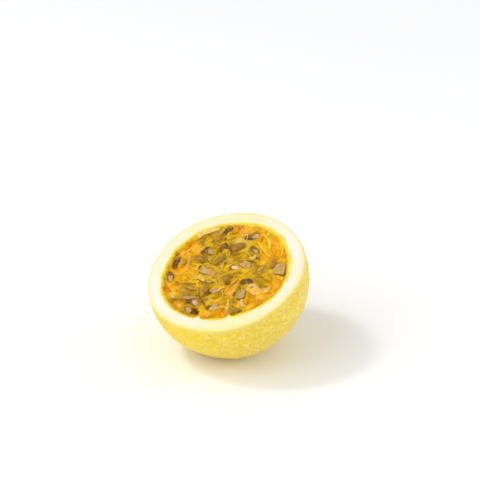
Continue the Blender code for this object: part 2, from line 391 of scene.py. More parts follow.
def set_inputs(tree, node, inputs):
    """Sets each input to its number or linear colour, or links it to its socket."""
    for name, value in inputs.items():
        socket = node.inputs[name]
        if isinstance(value, bpy.types.NodeSocket):
            tree.links.new(value, socket)
        elif socket.type == "RGBA":
            socket.default_value = (*value, 1.0)
        else:
            socket.default_value = value


def add_node(tree, kind, inputs=None, **settings):
    node = tree.nodes.new("ShaderNode" + kind)
    for name, value in settings.items():
        setattr(node, name, value)
    set_inputs(tree, node, inputs or {})
    return node


def value_node(tree, name):
    return add_node(tree, "Attribute", attribute_name=name).outputs["Fac"]


def noise_node(tree, scale, detail=3.0, roughness=0.5):
    """Noise with waves of about 1 / scale metres, over the piece's own coordinates."""
    place = add_node(tree, "TexCoord").outputs["Object"]
    inputs = {"Vector": place, "Scale": scale, "Detail": detail, "Roughness": roughness}
    return add_node(tree, "TexNoise", inputs).outputs["Fac"]


def cell_node(tree, scale):
    place = add_node(tree, "TexCoord").outputs["Object"]
    return add_node(tree, "TexVoronoi", {"Vector": place, "Scale": scale}).outputs["Distance"]


def math_node(tree, operation, first, second):
    return add_node(tree, "Math", {0: first, 1: second}, operation=operation).outputs["Value"]


def map_node(tree, value, low, high, to_low=0.0, to_high=1.0, smooth=False):
    inputs = {"Value": value, "From Min": low, "From Max": high, "To Min": to_low, "To Max": to_high}
    course = "SMOOTHSTEP" if smooth else "LINEAR"
    return add_node(tree, "MapRange", inputs, interpolation_type=course).outputs["Result"]


def noise_map(tree, grain, *span):
    """Noise, given by its scale, detail and roughness, with its span brought to another."""
    return map_node(tree, noise_node(tree, *grain), *span)


def mix_node(tree, factor, first, second, blend="MIX"):
    """Mixes two colours, each a socket or a linear colour."""
    node = add_node(tree, "Mix", {"Factor": factor}, data_type="RGBA", blend_type=blend)
    places = [place for place, socket in enumerate(node.inputs) if socket.type == "RGBA"]
    set_inputs(tree, node, dict(zip(places, (first, second))))
    return next(socket for socket in node.outputs if socket.type == "RGBA")


def layered(tree, color, *layers):
    """A colour with others over it in turn: how much each covers, then its colour."""
    for cover, over in layers:
        color = mix_node(tree, cover, color, over)
    return color


def mottled_tint(tree, pattern, low, high, dark, light):
    """The mesh's own tints, made darker and lighter by a pattern."""
    tint = add_node(tree, "VertexColor", layer_name="tint").outputs["Color"]
    shade = mix_node(tree, map_node(tree, pattern, low, high), dark, light)
    return mix_node(tree, 1.0, tint, shade, "MULTIPLY")


def bump_node(tree, height, strength, distance):
    inputs = {"Height": height, "Strength": strength, "Distance": distance}
    return add_node(tree, "Bump", inputs).outputs["Normal"]


def scatter(weight, radius, scale):
    """A shader's inputs for light that spreads under the surface."""
    return {"Subsurface Weight": weight, "Subsurface Radius": radius, "Subsurface Scale": scale}


WATER_IOR = 1.33
RIND_DEEP = (0.78, 0.54, 0.003)
RIND_BRIGHT = (0.95, 0.685, 0.004)
RIND_PALE = (0.95, 0.74, 0.06)
RIND_SPECK = (0.72, 0.50, 0.03)
WET_RIND = (0.80, 0.61, 0.11)
WET_GLINT = (0.96, 0.84, 0.36)
PAINTED_DROP_SHADE = (0.66, 0.48, 0.06)
PITH_CREAM = (0.95, 0.80, 0.46)
PITH_WHITE = (0.98, 0.84, 0.78)
PITH_DOT = (0.91, 0.76, 0.47)
PITH_AT_MOUTH = (0.94, 0.83, 0.26)
PITH_AT_RIM = (0.92, 0.76, 0.30)
UNDER_RIND = (0.78, 0.66, 0.09)


def shell_material():
    """Yellow waxy rind that fades over a few millimetres into cream pith, yellower beside the pulp."""
    material, tree, shader = new_material("rind_and_pith")
    wet = value_node(tree, "wet")
    specks = noise_node(tree, 750, 3, 0.6)

    def wandering(name, scale, sway):
        """One of the mesh's values, swayed to either side by noise."""
        swaying = noise_map(tree, (scale,), 0.3, 0.7, -sway, sway)
        return math_node(tree, "ADD", value_node(tree, name), swaying)

    def where_wet(cover):
        return math_node(tree, "MULTIPLY", wet, cover)

    edge = wandering("from_rim", 140, 0.2)
    mouth = wandering("from_mouth", 210, 0.9)
    whiter = wandering("white", 90, 0.35)
    rind = layered(
        tree,
        RIND_DEEP,
        (noise_map(tree, (100, 4, 0.6), 0.36, 0.64), RIND_BRIGHT),
        (noise_map(tree, (330, 3, 0.55), 0.50, 0.66, 0.0, 0.6), RIND_PALE),
        (map_node(tree, specks, 0.34, 0.44, 0.35, 0.0), RIND_SPECK),
        (where_wet(0.45), WET_RIND),
        # Pale and dark specks where the drops lie: painted glints and painted shade of the drops
        (where_wet(noise_map(tree, (560, 3, 0.6), 0.52, 0.66, 0.0, 0.9)), WET_GLINT),
        (where_wet(noise_map(tree, (640, 3, 0.6), 0.34, 0.46, 0.8, 0.0)), PAINTED_DROP_SHADE),
    )
    color = layered(
        tree,
        PITH_CREAM,
        (map_node(tree, whiter, 0.0, 1.0), PITH_WHITE),
        (noise_map(tree, (1100, 4, 0.6), 0.35, 0.7, 0.35, 0.0), PITH_DOT),
        (map_node(tree, mouth, -0.4, 1.8, 0.9, 0.0, True), PITH_AT_MOUTH),
        (map_node(tree, edge, -1.8, 0.2, 0.0, 1.0, True), PITH_AT_RIM),
        (map_node(tree, edge, -0.3, 0.8, 0.0, 0.6, True), UNDER_RIND),
        (map_node(tree, edge, 0.4, 3.4, 0.0, 1.0, True), rind),
    )
    pores = math_node(tree, "ADD", math_node(tree, "MULTIPLY", specks, 0.6), noise_node(tree, 1700, 2))
    set_inputs(tree, shader, {
        "Base Color": color,
        "Roughness": map_node(tree, edge, -0.4, 0.3, 0.62, 0.36, True),
        "Specular IOR Level": 0.18,
        "Normal": bump_node(tree, pores, 0.25, 0.08 * MM),
        **scatter(0.25, (1.0, 0.75, 0.25), 2.0 * MM),
    })
    return material


def bed_material():
    """Wet pulp: the mesh's own tints, broken up by fine fibres."""
    material, tree, shader = new_material("pulp_bed")
    fibre = noise_node(tree, 1300, 4, 0.65)
    set_inputs(tree, shader, {
        "Base Color": mottled_tint(tree, fibre, 0.38, 0.66, (0.79, 0.76, 0.58), (1.06, 1.06, 1.0)),
        "Roughness": noise_map(tree, (500, 2), 0.35, 0.65, 0.15, 0.35),
        "Specular IOR Level": 0.08,
        "Coat Weight": 0.20,
        "Coat Roughness": 0.04,
        "Coat IOR": WATER_IOR,
        "Normal": bump_node(tree, fibre, 0.25, 0.2 * MM),
        **scatter(0.45, (1.0, 0.5, 0.08), 1.4 * MM),
    })
    return material


def veil_material():
    """Clear wet skin of a sac, tinted by its juice."""
    material, tree, shader = new_material("sac_skin")
    fibre = noise_node(tree, 900, 3, 0.6)
    set_inputs(tree, shader, {
        "Base Color": mottled_tint(tree, fibre, 0.35, 0.68, (0.75, 0.72, 0.65), (1.15, 1.15, 1.2)),
        "Roughness": 0.12,
        "Specular IOR Level": 0.3,
        "Alpha": 0.28,
        "Normal": bump_node(tree, fibre, 0.35, 0.2 * MM),
    })
    return material


def seed_material():
    """Pitted seeds: the mesh's own tints, broken up by fine mottling."""
    material, tree, shader = new_material("seed")
    mottle = noise_node(tree, 1000, 3, 0.6)
    set_inputs(tree, shader, {
        "Base Color": mottled_tint(tree, mottle, 0.35, 0.68, (0.86, 0.83, 0.78), (1.08, 1.08, 1.08)),
        "Roughness": 0.3,
        "Specular IOR Level": 0.16,
        "Normal": bump_node(tree, cell_node(tree, 1900), 0.25, 0.1 * MM),
    })
    return material


def strand_material():
    """Torn skins: the mesh's own tints, a little see-through to light."""
    material, tree, shader = new_material("strand")
    mottle = noise_node(tree, 800, 3, 0.6)
    set_inputs(tree, shader, {
        "Base Color": mottled_tint(tree, mottle, 0.3, 0.7, (0.86, 0.82, 0.7), (1.08, 1.08, 1.1)),
        "Roughness": 0.3,
        **scatter(0.3, (1.0, 0.7, 0.3), 0.8 * MM),
    })
    return material


def drop_material():
    """Water, faintly yellow and milky where the light scatters in it."""
    material, tree, shader = new_material("water_drop")
    haze = noise_map(tree, (300, 2), 0.3, 0.7)
    set_inputs(tree, shader, {
        "Base Color": mix_node(tree, haze, (0.91, 0.69, 0.07), (0.94, 0.75, 0.18)),
        "Roughness": 0.05,
        "IOR": WATER_IOR,
    })
    return material


def floor_material():
    material, tree, shader = new_material("floor")
    tone = noise_map(tree, (3, 2), 0.3, 0.7)
    set_inputs(tree, shader, {
        "Base Color": mix_node(tree, tone, (0.950, 0.955, 0.965), (0.958, 0.962, 0.972)),
        "Roughness": 0.8,
        "Specular IOR Level": 0.1,
    })
    return material


# The shell

SHELL_SEGMENTS = 384
RIND_ROWS, RIM_ROWS, CUT_ROWS, MOUTH_ROWS, CAVITY_ROWS = 96, 8, 26, 7, 30
MOUTH_RAGGED = 0.28 * MM
RAGGED_REACH = 1.2 * MM
CUT_UNEVEN = 0.09 * MM
RIND_DIMPLES = 0.05 * MM
RIND_GRAIN = 0.02 * MM
WHITEST = math.radians(-130)  # the pith is whitest here and on the far side
WETTEST = -0.2  # bearing in radians where the drops lie thickest

# Pith that juts into the pulp: bearing in degrees, length and width in mm
SPURS = ((-79, 1.7, 2.8), (-50, 1.9, 1.8))
SPUR_THICKNESS = 0.9 * MM


def spur_at(turn):
    """How far the mouth's edge reaches in over the pulp at this turn."""
    reach = np.zeros_like(turn)
    for degrees, length, width in SPURS:
        aside = (turn - math.radians(degrees) + math.pi) % (2 * math.pi) - math.pi
        reach += length * MM * np.exp(-((aside * MOUTH_RADIUS / (width / 2 * MM)) ** 2))
    return reach


def arc(radius, start, end, count, middle=(0, 0)):
    angle = np.linspace(start, end, count)
    return np.stack([middle[0] + radius * np.cos(angle), middle[1] + radius * np.sin(angle)], 1)


def shell_profile():
    """Radius and height along the shell's section: up the rind, over the cut and down into the cavity."""
    rim_angle = math.asin((CUT_HEIGHT - RIM_ROUND) / (FRUIT_RADIUS - RIM_ROUND))
    rim_middle = (FRUIT_RADIUS - RIM_ROUND) * math.cos(rim_angle)
    mouth_middle = MOUTH_RADIUS + MOUTH_ROUND
    cut = np.linspace(rim_middle, mouth_middle, CUT_ROWS)[1:-1]
    return np.concatenate([
        arc(FRUIT_RADIUS, -math.pi / 2 + 0.004, rim_angle, RIND_ROWS),
        arc(RIM_ROUND, rim_angle, math.pi / 2, RIM_ROWS, (rim_middle, CUT_HEIGHT - RIM_ROUND))[1:],
        np.stack([cut, np.full_like(cut, CUT_HEIGHT)], 1),
        arc(MOUTH_ROUND, math.pi / 2, math.pi, MOUTH_ROWS, (mouth_middle, CUT_HEIGHT - MOUTH_ROUND)),
        arc(CAVITY_RADIUS, 0.08, -math.pi / 2 + 0.01, CAVITY_ROWS),
    ])


def wetness(turn):
    """How thick the drops lie on the rind, from 0 to 1."""
    return (0.5 + 0.5 * np.cos(turn - WETTEST)) ** 2


def make_shell():
    rows = shell_profile()
    along = np.concatenate([[0], np.cumsum(np.hypot(*np.diff(rows, axis=0).T))])
    from_corner = along[RIND_ROWS + RIM_ROWS // 2 - 1] - along
    from_edge = np.abs(along - along[RIND_ROWS + RIM_ROWS + CUT_ROWS + MOUTH_ROWS // 2 - 3])
    turn = np.linspace(0, 2 * math.pi, SHELL_SEGMENTS, endpoint=False)
    radius, height = rows.T[:, :, None]
    share = np.clip((np.hypot(radius, height) - CAVITY_RADIUS) / WALL, 0, 1)
    swell = share * lobed(RIM_LOBES, turn) + (1 - share) * lobed(MOUTH_LOBES, turn)
    spur = np.exp(-((from_edge / SPUR_THICKNESS) ** 2))[:, None] * spur_at(turn)
    out = radius * (1 + swell / FRUIT_RADIUS) - spur
    points = np.stack([out * np.cos(turn), out * np.sin(turn), height + 0 * turn], -1).reshape(-1, 3)
    outward = points / np.linalg.norm(points, axis=1)[:, None]
    from_rim = np.repeat(from_corner / MM, SHELL_SEGMENTS)
    from_mouth = np.repeat(from_edge / MM, SHELL_SEGMENTS)
    # The mouth's edge is ragged, the cut a little uneven, the rind gently dimpled
    ragged = np.exp(-((from_mouth * MM / RAGGED_REACH) ** 2)) * noise_at(points * (1, 1, 0), 330, 3, 2.0)
    points[:, :2] *= (1 + MOUTH_RAGGED * ragged / MOUTH_RADIUS)[:, None]
    on_cut = np.clip(-from_rim - 0.3, 0, 1) * (points[:, 2] > CUT_HEIGHT - 1.5 * MM)
    points[:, 2] += on_cut * CUT_UNEVEN * noise_at(points, 350, 3)
    on_rind = np.clip(from_rim - 0.3, 0, 1)
    dimples = RIND_DIMPLES * noise_at(points, 130, 2) + RIND_GRAIN * noise_at(points, 600, 2)
    points += outward * (on_rind * dimples)[:, None]
    shell = add_mesh("shell_skin", points, closed_faces(len(rows), SHELL_SEGMENTS), shell_material())
    wet = np.tile(wetness(turn), len(rows))
    white = np.tile(0.5 + 0.5 * np.cos(2 * (turn - WHITEST)), len(rows))
    add_values(shell, from_rim=from_rim, from_mouth=from_mouth, wet=wet, white=white)
    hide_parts("shell")


# The pulp

DISC_STEPS = 288
UNDER_RINGS = 9
PULP_RADIUS = CAVITY_RADIUS - GAP
WALL_TOUCH = 0.9 * MM  # how far the pulp's edge reaches past the solid's, into the wall
MENISCUS = 0.36 * MM  # how far juice climbs the wall
SAC_SINK = 0.1 * MM
SHOULDER_DROP = {CUT: 0.25, PATCH: 0.40, WHOLE: 0.40}  # of the pulp round a seed, in its thicknesses
SHOULDER_FALL = 1.1 * MM
FACE_DROP = 0.32  # of the pulp under a cut face, in the same way
VEIL_DROP = 0.9 * MM  # of the pulp inside a sac whose clear skin covers its seed
CREASE = 0.26 * MM  # rounding between sacs, seeds and juice
OUTER_FOLDS = 0.30
INNER_FOLDS = 0.10
RIDGES = 0.06
PIT_DEPTH = 0.7 * MM
PIT_RADIUS = 3.0 * MM
PIT_SIZES = (0.75, 1.1)
VEILED_PIT = 0.7  # size of a pit beside a seed under its skin, as a share of the others'

# Orange juice shows between the sacs here: x, y and radius in mm
ORANGE_SPOTS = (
    (12.6, 21.4, 9.5), (-9.0, 25.6, 6.5), (-27.4, 6.0, 4.4), (-20.6, -9.0, 8.0), (-18.9, -19.5, 7.0),
    (8.0, -25.2, 7.5), (22.6, -6.8, 7.5), (26.0, 2.4, 5.5), (-21.5, 4.0, 5.5), (12.8, -21.5, 6.5),
    (5.5, 21.3, 5.5), (20.0, 14.0, 4.0), (-8.0, -24.5, 4.5), (2.5, 26.0, 5.0),
)
# and in the same way yellow juice, the deepest orange and brown-tinted sacs
YELLOW_SPOTS = (
    (8.6, 3.3, 4.2), (-5.8, 0.3, 3.6), (0.5, 16.5, 2.6), (19.5, -14.5, 4.0), (1.5, -8.5, 3.0),
    (-12.0, 11.0, 2.6), (5.0, 27.0, 3.2), (16.0, 24.0, 2.8), (6.2, 20.5, 3.0), (11.5, 27.5, 2.5),
)
DEEP_SPOTS = (
    (8.6, 24.0, 3.0), (9.6, 16.0, 3.0), (24.5, 4.2, 3.6), (23.5, -7.8, 3.4), (-19.6, -19.6, 3.0),
    (-27.2, 6.8, 3.0), (-23.5, -8.2, 3.4), (15.0, 18.5, 3.6), (-13.5, 24.0, 2.8), (17.5, -11.5, 3.0),
)
EARTH_SPOTS = (
    (-6.5, -18.0, 6.0), (-3.2, -23.8, 4.0), (-0.6, -17.6, 3.4), (-10.8, -22.0, 4.0),
    (13.0, -12.4, 3.0), (-4.5, 10.5, 3.2), (-15.4, 4.3, 2.6), (-26.5, -8.0, 2.2),
)

DEEP_ORANGE = np.array((0.86, 0.345, 0.0))
ORANGE = np.array((0.91, 0.455, 0.0))
YELLOW = np.array((0.93, 0.60, 0.001))
LIGHT_OLIVE = np.array((0.66, 0.41, 0.018))
# Painted shade in the hollows beside the seeds
PIT_SHADE_BROWN = np.array((0.15, 0.060, 0.001))
FOOT_SHADE = np.array((0.33, 0.170, 0.004))  # painted shade round a seed's foot
MUSTARD = np.array((0.72, 0.41, 0.003))
# Painted highlight, on the ridge lines and the crests
HIGHLIGHT_STRAW = np.array((0.93, 0.64, 0.045))
BORDER = np.array((0.96, 0.72, 0.11))
SAC_SHADE = (0.72, 0.68, 0.52)  # what the painted shade in a sac's fold valleys leaves of its colour
SAC_CREST_HIGHLIGHT = (0.03, 0.02, 0.0)  # what the painted highlight on its fold crests adds to it
BORDER_SIDE = math.radians(70)  # where the yellow border along the wall is widest
BORDER_WIDTHS = (0.018, 0.053)  # its least and greatest width, as shares of the pulp's radius

# How much of what lies under it each colour covers
DEEP_COVER = 0.75
EARTH_COVER = 0.6
RIDGE_HIGHLIGHT_COVER = 0.55
FOOT_SHADE_COVER = 0.55
PIT_SHADE_COVER = 0.92
BORDER_COVER = 0.85


def sac_tints():
    """Colour of each sac: olive round a seed, as given on a plain sac, mustard to orange on the rest."""
    draw = random.Random(RANDOM_SEED + 2)
    tints = []
    for _ in SEED_SACS:
        share = draw.random()
        tints.append(np.array(OLIVE) * (1 - share) + LIGHT_OLIVE * share)
    tints += [np.array(row[4]) for row in PLAIN_SACS]
    while len(tints) < SAC_COUNT:
        share = draw.random()
        tints.append(MUSTARD * (1 - share) + ORANGE * share)
    return np.array(tints)


def disc_grid(steps):
    """A square grid drawn into a disc of radius 1, with the indices of its border in order."""
    side = np.linspace(-1, 1, steps + 1)
    a, b = np.meshgrid(side, side)
    wide = np.abs(a) > np.abs(b)
    radius = np.where(wide, a, b)
    with np.errstate(divide="ignore", invalid="ignore"):
        angle = np.where(wide, math.pi / 4 * b / a, math.pi / 2 - math.pi / 4 * a / b)
    angle = np.nan_to_num(angle)
    x, y = radius * np.cos(angle), radius * np.sin(angle)
    index = np.arange((steps + 1) ** 2).reshape(steps + 1, steps + 1)
    faces = np.stack([index[:-1, :-1], index[:-1, 1:], index[1:, 1:], index[1:, :-1]], -1).reshape(-1, 4)
    border = np.concatenate([index[0, :-1], index[:-1, -1], index[-1, :0:-1], index[:0:-1, 0]])
    return x.ravel(), y.ravel(), faces, border


SAC_TINTS = sac_tints()


def smooth_top(heights, blend):
    """The highest of several heights at each point, with the creases between them rounded."""
    highest = heights.max(0)
    return highest + blend * np.log(np.exp((heights - highest) / blend).sum(0))


def smooth_step(value, low, high):
    share = np.clip((value - low) / (high - low), 0, 1)
    return share * share * (3 - 2 * share)


def mixed(first, second, share):
    """From the first colour to the second, by each point's share."""
    first, second = np.atleast_2d(first, second)
    return first + (second - first) * share[:, None]


def juice_level(x, y):
    """Height of the juice between the sacs, rising to the wall."""
    bearing = np.arctan2(y, x)
    share = np.clip(np.hypot(x, y) / reach_at(bearing), 0, 1)
    wave = 2 * math.pi / WAVE_LENGTH
    flat = CUT_HEIGHT - PULP_DROP + PULP_WAVE * np.sin(wave * x) * np.cos(wave * y)
    rise = (PULP_DROP - PULP_EDGE_DROP) * np.clip((share - 0.84) / 0.16, 0, 1) ** 1.6
    return flat + rise + MENISCUS * smooth_step(share, 0.955, 1.0)


def spots(x, y, places):
    """How strongly each point lies within round spots, from 0 to 1."""
    total = np.zeros_like(x)
    for place_x, place_y, radius in places:
        away = np.hypot(x - place_x * MM, y - place_y * MM) / (radius * MM)
        total = np.maximum(total, 1 - smooth_step(away, 0.45, 1.1))
    return total


class Pulp:
    """The pulp's upper side: its heights and colours at points of the cut."""

    def __init__(self, x, y):
        self.x, self.y = x, y
        self.place = np.stack([x, y, np.zeros_like(x)], 1)
        self.share = np.clip(np.hypot(x, y) / reach_at(np.arctan2(y, x)), 0, 1)
        inside = np.stack([sac.inside(x, y) for sac in SACS])
        self.nearest = inside.argmax(0)
        self.inside = inside.max(0)
        self.streak, self.ridge = self.streaks()
        self.pits = self.pit_depth()
        self.patch = noise_at(self.place, 240, 3, 5.0)
        self.orange = np.clip(1.2 * spots(x, y, ORANGE_SPOTS) + 0.6 * self.patch, 0, 1)
        self.yellow = np.clip(spots(x, y, YELLOW_SPOTS) + 0.6 * self.patch, 0, 1)
        self.calm = 1 - 0.45 * np.maximum(self.orange, self.yellow)

    def streaks(self):
        """Lines along each sac's own length, and around it between the sacs."""
        streak = np.empty_like(self.x)
        for index, sac in enumerate(SACS):
            here = np.flatnonzero(self.nearest == index)
            if not len(here):
                continue
            u, v = sac.across(self.x[here], self.y[here])
            out = np.sqrt(np.clip(1 - self.inside[here], 0, None))
            angle = np.arctan2(v, u)
            own = index * 9.7  # each sac has its own stretch of the noise
            inner = noise_at(np.stack([u * 0.8, v * 2.1, np.full_like(u, own)], 1), 1.0)
            outer = noise_at(np.stack([np.cos(angle) * 1.4, np.sin(angle) * 1.4, out * 2.0 + own], 1), 1.0)
            streak[here] = inner + (outer - inner) * smooth_step(out, 0.75, 1.15)
        return streak, (1 - np.abs(streak)) ** 6

    def pit_depth(self):
        """Hollows beside the seeds, from 0 to 1, which the pulp dips into and which get painted shade."""
        draw = random.Random(RANDOM_SEED + 6)
        total = np.zeros_like(self.x)
        for seed, row in zip(SEEDS, SEED_SACS):
            bearing = math.radians(row[-1])
            size = draw.uniform(*PIT_SIZES) * (VEILED_PIT if row[4] == VEILED else 1.0)
            aside = bearing - seed.turn
            out = 0.55 * math.hypot(math.cos(aside) * seed.size.x, math.sin(aside) * seed.size.y)
            middle_x = seed.x + math.cos(bearing) * out
            middle_y = seed.y + math.sin(bearing) * out
            away = np.hypot(self.x - middle_x, self.y - middle_y) / (PIT_RADIUS * size)
            total = np.maximum(total, (1 - smooth_step(away, 0.25, 1.0)) * size)
        return np.clip(total, 0, 1)

    def past(self, seed, start):
        """How far each point lies past a seed's outline, from a start that is 1 at the outline."""
        return np.clip(np.sqrt(np.clip(1 - seed.inside(self.x, self.y), 0, None)) - start, 0, None)

    def heights(self):
        tops = [juice_level(self.x, self.y)]
        for index, sac in enumerate(SACS):
            top = sac.height(self.x, self.y) - SAC_SINK
            if index < len(SEED_SACS) and KINDS[index] == VEILED:
                top -= VEIL_DROP * smooth_step(sac.inside(self.x, self.y), 0.05, 0.5)
            tops.append(top)
        for seed, kind in zip(SEEDS, KINDS):
            if kind != VEILED:
                shoulder = seed.top - SHOULDER_DROP[kind] * seed.size.z
                tops.append(shoulder - self.past(seed, 1.1) ** 1.5 * SHOULDER_FALL)
        top = smooth_top(np.stack(tops), CREASE)
        inner = smooth_step(self.inside, -0.2, 0.3)
        fade = 1 - smooth_step(self.share, 0.93, 1.0)
        folds = (OUTER_FOLDS + (INNER_FOLDS - OUTER_FOLDS) * inner) * self.streak + RIDGES * self.ridge
        top += fade * (self.calm * folds * MM - PIT_DEPTH * self.pits)
        for seed, kind, corners in zip(SEEDS, KINDS, CORNERS):
            if kind == CUT:
                u, v = seed.across(self.x, self.y)
                out = np.hypot(u, v) / polygon_reach(corners, np.arctan2(v, u))
                over = np.clip(top - (seed.top - FACE_DROP * seed.size.z), 0, None)
                top -= over * (1 - smooth_step(out, 1.0, 1.3))
        return top

    def colors(self):
        patch, orange, yellow = self.patch, self.orange, self.yellow
        streak = np.clip(0.5 + 0.95 * self.streak * self.calm, 0, 1)
        juice = mixed(mixed(DEEP_ORANGE, ORANGE, streak), YELLOW, 0.55 * streak**2)
        haze = mixed(OLIVE, MUSTARD, np.clip(streak * 1.5, 0, 1))
        haze = mixed(haze, YELLOW, 0.5 * streak**2)
        juice = mixed(haze, juice, smooth_step(orange + 0.25 * smooth_step(self.share, 0.8, 1.0), 0.1, 0.6))
        juice = mixed(juice, YELLOW * (0.9 + 0.15 * streak[:, None]), yellow)
        tint = SAC_TINTS[self.nearest]
        # Over the sacs' own streaks, painted shade in the fold valleys and a painted highlight on the crests
        sac = mixed(tint * SAC_SHADE, tint, np.clip(streak * 1.6, 0, 1))
        sac = mixed(sac, tint * 1.25 + SAC_CREST_HIGHLIGHT, streak**2)
        over = smooth_step(self.inside + 0.5 * patch, -0.8, 0.4)
        by_hand = self.nearest < len(SEED_SACS) + len(PLAIN_SACS)
        over *= np.where(by_hand, (1 - 0.8 * orange) * (1 - 0.7 * yellow), 0.45)
        over *= 1 - 0.6 * smooth_step(self.share, 0.90, 1.0)
        color = mixed(juice, sac, over)
        color = mixed(color, DEEP_ORANGE, DEEP_COVER * spots(self.x, self.y, DEEP_SPOTS))
        color = mixed(color, EARTH, EARTH_COVER * spots(self.x, self.y, EARTH_SPOTS))
        # Painted highlight along the fold ridges
        lines = self.ridge**2 * smooth_step(self.streak + 1.5 * patch, -0.1, 0.8)
        color = mixed(color, HIGHLIGHT_STRAW, RIDGE_HIGHLIGHT_COVER * lines * self.calm)
        cloud = 0.18 * noise_at(self.place, 380, 2, 9.0) + 0.16 * noise_at(self.place, 170, 2, 3.0)
        color = color * (1 + cloud)[:, None]
        # Painted shade round each seed's foot
        for seed, kind in zip(SEEDS, KINDS):
            if kind != VEILED:
                beside = 1 - smooth_step(self.past(seed, 0.95), 0.0, 0.55)
                color = mixed(color, FOOT_SHADE, FOOT_SHADE_COVER * beside)
        # Painted shade in the hollows beside the seeds
        color = mixed(color, PIT_SHADE_BROWN, PIT_SHADE_COVER * smooth_step(self.pits, 0.1, 0.9) * (0.8 + 0.2 * streak))
        wall = smooth_step(self.share + 0.03 * patch, 0.93, 0.99) * np.clip(0.55 + 1.4 * patch, 0, 1)
        color = mixed(color, YELLOW, wall)
        side = 0.5 + 0.5 * np.cos(np.arctan2(self.y, self.x) - BORDER_SIDE)
        width = BORDER_WIDTHS[0] + (BORDER_WIDTHS[1] - BORDER_WIDTHS[0]) * side
        border = smooth_step(self.share + 0.012 * patch, 1 - width, 1.0)
        return np.clip(mixed(color, BORDER, BORDER_COVER * border), 0, 1)


HOLLOW_REACH = 7  # grid steps on each side
HOLLOW_DEPTH = 0.45 * MM
# Painted shade in the pulp's hollows and a painted highlight on its crests
HOLLOW_SHADE = np.array((0.42, 0.54, 0.85))
CREST_LIGHT = 0.10


def hollows(heights):
    """How deep each point of the grid lies under its surroundings: 1 in a deep hollow, -1 on a crest."""
    grid = heights.reshape(DISC_STEPS + 1, DISC_STEPS + 1)
    wide = 2 * HOLLOW_REACH + 1
    blurred = np.pad(grid, HOLLOW_REACH, "edge")
    for _ in range(2):
        total = np.cumsum(np.pad(blurred, ((1, 0), (0, 0))), 0)
        blurred = ((total[wide:] - total[:-wide]) / wide).T
    return ((blurred - grid) / HOLLOW_DEPTH).ravel()


def make_bed():
    """The pulp as one closed body whose upper side has the sacs, the juice and the folds between them."""
    x, y, faces, border = disc_grid(DISC_STEPS)
    turn = np.arctan2(y, x)
    reach = reach_at(turn) + WALL_TOUCH
    x, y = x * reach, y * reach
    pulp = Pulp(x, y)
    top = np.stack([x, y, pulp.heights()], 1)
    # Painted shade darkens the hollows and a painted highlight lightens the crests
    hollow = hollows(top[:, 2])[:, None]
    colors = pulp.colors() * (1 - np.clip(hollow, 0, 1) * HOLLOW_SHADE)
    colors += np.clip(-hollow, 0, 1) * CREST_LIGHT * HIGHLIGHT_STRAW
    turn = turn[border]
    rings = [top]
    for angle in np.linspace(0.04, -math.pi / 2 + 0.03, UNDER_RINGS):
        out = PULP_RADIUS * math.cos(angle) * (1 + lobed(MOUTH_LOBES, turn) / FRUIT_RADIUS)
        low = np.full_like(out, PULP_RADIUS * math.sin(angle))
        rings.append(np.stack([out * np.cos(turn), out * np.sin(turn), low], 1))
    points = np.concatenate(rings)
    under = np.arange(len(top), len(points)).reshape(UNDER_RINGS, -1)
    index = np.vstack([border, under])
    after = np.roll(index, -1, 1)
    sides = np.stack([after[:-1], index[:-1], index[1:], after[1:]], -1).reshape(-1, 4)
    faces = faces.tolist() + sides.tolist() + [index[-1, ::-1].tolist()]
    tints = np.concatenate([np.clip(colors, 0, 1), np.repeat(ORANGE[None], under.size, 0)])
    bed = add_mesh("pulp_bed", points, faces, bed_material(), tints)
    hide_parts("pulp")


EGG_CLOSING = 0.985  # how near the end rings come to the poles, as a share of the way from the middle


def egg_points(around, rings, square=1.0):
    """Points of an egg of radius 1 with its poles along X, ring by ring; a power under 1 squares it off."""
    angle = np.linspace(-1, 1, rings)[:, None] * math.pi / 2 * EGG_CLOSING
    turn = 2 * math.pi * np.arange(around) / around
    u = np.sin(angle) + 0 * turn
    v = np.cos(angle) * np.cos(turn) * narrowing(u)
    w = np.cos(angle) * np.sin(turn) * narrowing(u)
    return np.stack([u, v, np.copysign(np.abs(w) ** square, w)], -1).reshape(-1, 3)


def placed(shape, egg, lift=0.0):
    """Points given in an egg's half lengths, brought to where it lies."""
    place = Matrix.Translation((egg.x, egg.y, egg.top - egg.size.z / 2 + lift))
    place = place @ Matrix.Rotation(egg.turn, 4, "Z") @ Matrix.Rotation(egg.tip, 4, "Y")
    return shape * (np.array(egg.size) / 2) @ np.array(place.to_3x3()).T + np.array(place.translation)


VEIL_AROUND = 40
VEIL_RINGS = 25
VEIL_LIFT = 0.36 * MM
VEIL_WRINKLE = 0.03
VEIL_BULGE = 0.09


def veils():
    """Clear skins of the sacs that cover their seeds."""
    draw = random.Random(RANDOM_SEED + 7)
    for index, (sac, kind) in enumerate(zip(SACS, KINDS)):
        if kind != VEILED:
            continue
        shape = egg_points(VEIL_AROUND, VEIL_RINGS)
        wrinkle = noise_at(shape * (1.1, 3.4, 3.4) + index * 5.3, 1.0)
        bulge = noise_at(shape * 1.1 + index * 2.7, 1.0, 2)
        shape *= (1 + VEIL_WRINKLE * wrinkle + VEIL_BULGE * bulge)[:, None]
        points = placed(shape, sac, VEIL_LIFT)
        tone = draw.random()
        base = LIGHT_OLIVE * (1 - tone) + YELLOW * 0.85 * tone
        skin = mixed(OLIVE, base, np.clip(0.65 + 0.8 * wrinkle, 0, 1))
        under = Pulp(points[:, 0], points[:, 1])
        proud = smooth_step(points[:, 2] - under.heights(), -0.1 * MM, 0.9 * MM)
        yield points, mixed(under.colors(), skin, proud)


